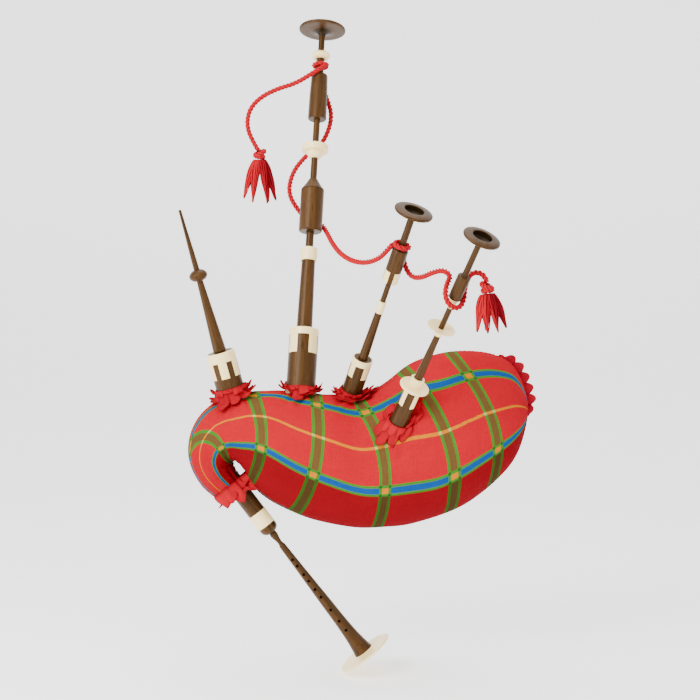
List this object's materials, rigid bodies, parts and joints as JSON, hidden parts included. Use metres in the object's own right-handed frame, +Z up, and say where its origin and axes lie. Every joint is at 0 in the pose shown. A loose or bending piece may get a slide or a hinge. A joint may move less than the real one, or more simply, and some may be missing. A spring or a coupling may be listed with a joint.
{
  "type": "bagpipes",
  "caption": "Bagpipes with a tartan-covered bag, wooden drones, a blowpipe and a chanter with a flared sole, ivory-coloured mounts and red silk cord with tassels.",
  "frame": {"origin": "middle of the bag, where the player's arm presses on it", "axes": "+Z up, along the bass drone's height; +X towards the back end of the bag, away from the chanter; -Y towards the listener's side, the side that the tenor drones lean to"},
  "size_m": [0.5963, 0.5171, 1.1335],
  "materials": {
    "drone_wood": "polished dark hardwood, straight grain along each pipe",
    "imitation_ivory": "polished, faint grain",
    "tartan_cover": "twill-woven wool tartan, matte",
    "bag_leather": "matte",
    "trim_fabric": "gathered felt and velvet, matte",
    "drone_cord": "twisted silky cord",
    "tassel_yarn": "soft yarn",
    "binding_twine": "waxed thread in close turns",
    "hemp_lapping": "waxed hemp thread",
    "reed_cane": "bare cane",
    "valve_leather": "soft, matte"
  },
  "bodies": {
    "root": {"bag": "bag_leather", "bag_cover": "tartan_cover", "cover_rear_frill": "trim_fabric", "stock_bindings": "binding_twine", "bass_frill": "trim_fabric", "middle_tenor_frill": "trim_fabric", "outer_tenor_frill": "trim_fabric", "blowpipe_frill": "trim_fabric", "chanter_frill": "trim_fabric", "bass_stock": "drone_wood", "bass_stock_ferrule": "imitation_ivory", "middle_tenor_stock": "drone_wood", "middle_tenor_stock_ferrule": "imitation_ivory", "outer_tenor_stock": "drone_wood", "outer_tenor_stock_mount": "imitation_ivory", "blowpipe_stock": "drone_wood", "blowpipe_stock_ferrule": "imitation_ivory", "chanter_stock": "drone_wood", "chanter_stock_band": "imitation_ivory"},
    "bass_bottom": {"bass_bottom_joint": "drone_wood", "bass_bottom_ring": "imitation_ivory", "bass_bottom_hemp": "hemp_lapping", "bass_reed": "reed_cane"},
    "bass_middle": {"bass_middle_joint": "drone_wood", "bass_middle_mount": "imitation_ivory", "bass_middle_hemp": "hemp_lapping", "cord_bass_span": "drone_cord"},
    "bass_top": {"bass_top_joint": "drone_wood", "bass_neck_ring": "imitation_ivory", "bass_bell": "drone_wood", "cord_bass_run": "drone_cord", "cord_left_tail": "drone_cord", "left_tassel": "tassel_yarn"},
    "middle_tenor_bottom": {"middle_tenor_bottom_joint": "drone_wood", "middle_tenor_pin_ring": "imitation_ivory", "middle_tenor_hemp": "hemp_lapping", "middle_tenor_reed": "reed_cane"},
    "middle_tenor_top": {"middle_tenor_top_joint": "drone_wood", "middle_tenor_top_inlays": "imitation_ivory", "middle_tenor_bell": "drone_wood", "cord_middle_span": "drone_cord", "cord_tenor_span": "drone_cord"},
    "outer_tenor_bottom": {"outer_tenor_bottom_joint": "drone_wood", "outer_tenor_saucer": "imitation_ivory", "outer_tenor_hemp": "hemp_lapping", "outer_tenor_reed": "reed_cane"},
    "outer_tenor_top": {"outer_tenor_top_joint": "drone_wood", "outer_tenor_top_ring": "imitation_ivory", "outer_tenor_bell": "drone_wood", "cord_outer_loop": "drone_cord", "right_tassel": "tassel_yarn"},
    "blowpipe": {"blowpipe_tube": "drone_wood", "blowpipe_bead": "drone_wood", "mouthpiece": "drone_wood", "blowpipe_hemp": "hemp_lapping"},
    "blowpipe_valve": {"valve_flap": "valve_leather"},
    "chanter": {"chanter": "drone_wood", "chanter_hemp": "hemp_lapping", "chanter_reed": "reed_cane", "chanter_sole": "imitation_ivory"}
  },
  "joints": [
    {"name": "bass_bottom_turn", "type": "hinge", "parent": "root", "child": "bass_bottom", "pos_m": [-0.101, 0.008, 0.111], "axis": [0.0517, 0.2924, 0.9549], "continuous": true},
    {"name": "bass_middle_slide", "type": "slide", "parent": "root", "child": "bass_middle", "axis": [0.0517, 0.2924, 0.9549], "range_m": [-0.025, 0.03], "deforming": ["cord_bass_span"]},
    {"name": "bass_top_slide", "type": "slide", "parent": "bass_middle", "child": "bass_top", "axis": [0.0517, 0.2924, 0.9549], "range_m": [-0.026, 0.024], "deforming": ["cord_bass_run"]},
    {"name": "middle_tenor_bottom_turn", "type": "hinge", "parent": "root", "child": "middle_tenor_bottom", "pos_m": [-0.014, -0.012, 0.1065], "axis": [0.2853, -0.4067, 0.8678], "continuous": true},
    {"name": "middle_tenor_top_slide", "type": "slide", "parent": "root", "child": "middle_tenor_top", "axis": [0.2853, -0.4067, 0.8678], "range_m": [-0.024, 0.022], "deforming": ["cord_middle_span", "cord_tenor_span"]},
    {"name": "outer_tenor_bottom_turn", "type": "hinge", "parent": "root", "child": "outer_tenor_bottom", "pos_m": [0.061, -0.088, 0.058], "axis": [0.3367, -0.4384, 0.8333], "continuous": true},
    {"name": "outer_tenor_top_slide", "type": "slide", "parent": "root", "child": "outer_tenor_top", "axis": [0.3367, -0.4384, 0.8333], "range_m": [-0.021, 0.018], "deforming": ["cord_outer_loop"]},
    {"name": "blowpipe_turn", "type": "hinge", "parent": "root", "child": "blowpipe", "pos_m": [-0.22, -0.005, 0.108], "axis": [-0.2578, -0.0872, 0.9623], "continuous": true},
    {"name": "valve_flap_hinge", "type": "hinge", "parent": "blowpipe", "child": "blowpipe_valve", "pos_m": [-0.22303, 0.0014, 0.1193], "axis": [0.9659, 0, 0.2588], "range_deg": [0, 45]},
    {"name": "chanter_turn", "type": "hinge", "parent": "root", "child": "chanter", "pos_m": [-0.206, 0, -0.0655], "axis": [0.6046, 0, -0.7965], "continuous": true}
  ]
}
